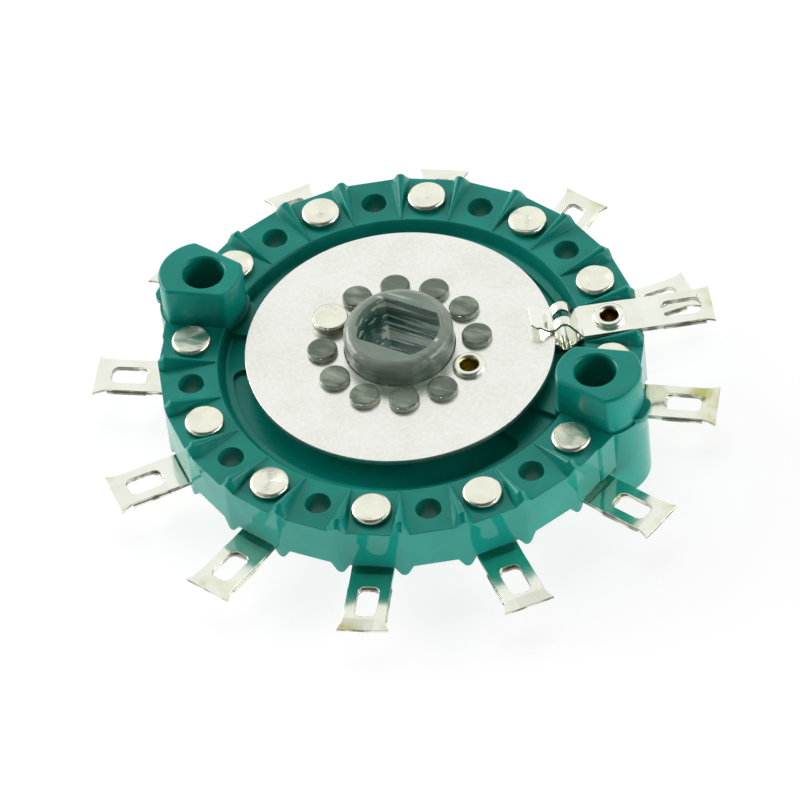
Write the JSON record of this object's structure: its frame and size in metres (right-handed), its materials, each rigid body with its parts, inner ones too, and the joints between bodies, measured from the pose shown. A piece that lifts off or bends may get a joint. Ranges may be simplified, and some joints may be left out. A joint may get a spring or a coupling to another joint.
{
  "type": "rotary wafer switch",
  "caption": "Rotary switch wafer: green moulded ring with riveted solder-lug contacts around its rim, and a clear rotor with a silver disc and a two-flat shaft hole.",
  "frame": {"origin": "on the rotor axis, in the plane of the lower end faces of the two tie-rod bosses", "axes": "+Z along the rotor axis towards the common contact; +X through the tie-rod bore beside the common contact"},
  "size_m": [0.0452, 0.0452, 0.01],
  "materials": {
    "green_moulding": "glossy moulded thermoset, blue-green",
    "silvered_spring": "silver plate on brass strip, satin, lightly tarnished",
    "silvered_rivet": "silver plate, pressed flat, satin",
    "polished_silver": "silver plate, polished by wiping",
    "brass_eyelet": "bare brass inside, rolled rim",
    "smoke_moulding": "smoke-grey translucent moulding"
  },
  "bodies": {
    "stator": {"stator_body": "green_moulding", "terminal_lug_01": "silvered_spring", "terminal_spring_01": "silvered_spring", "terminal_rivet_01": "silvered_rivet", "terminal_lug_02": "silvered_spring", "terminal_spring_02": "silvered_spring", "terminal_rivet_02": "silvered_rivet", "terminal_lug_03": "silvered_spring", "terminal_spring_03": "silvered_spring", "terminal_rivet_03": "silvered_rivet", "terminal_lug_04": "silvered_spring", "terminal_spring_04": "silvered_spring", "terminal_rivet_04": "silvered_rivet", "terminal_lug_05": "silvered_spring", "terminal_spring_05": "silvered_spring", "terminal_rivet_05": "silvered_rivet", "terminal_lug_06": "silvered_spring", "terminal_spring_06": "silvered_spring", "terminal_rivet_06": "silvered_rivet", "terminal_lug_07": "silvered_spring", "terminal_spring_07": "silvered_spring", "terminal_rivet_07": "silvered_rivet", "terminal_lug_08": "silvered_spring", "terminal_spring_08": "silvered_spring", "terminal_rivet_08": "silvered_rivet", "terminal_lug_09": "silvered_spring", "terminal_spring_09": "silvered_spring", "terminal_rivet_09": "silvered_rivet", "terminal_lug_10": "silvered_spring", "terminal_spring_10": "silvered_spring", "terminal_rivet_10": "silvered_rivet", "terminal_lug_11": "silvered_spring", "terminal_spring_11": "silvered_spring", "terminal_rivet_11": "silvered_rivet", "terminal_lug_12": "silvered_spring", "terminal_spring_12": "silvered_spring", "terminal_rivet_12": "silvered_rivet", "common_lower_leaf": "silvered_spring", "common_upper_leaf": "silvered_spring", "common_eyelet": "brass_eyelet"},
    "rotor": {"rotor_hub": "smoke_moulding", "rotor_disc": "polished_silver", "rotor_blade": "polished_silver", "rotor_rivet": "silvered_rivet", "rotor_eyelet": "brass_eyelet"}
  },
  "joints": [
    {"name": "rotor_turn", "type": "hinge", "parent": "stator", "child": "rotor", "pos_m": [0, 0, 0], "axis": [0, 0, 1], "continuous": true}
  ]
}
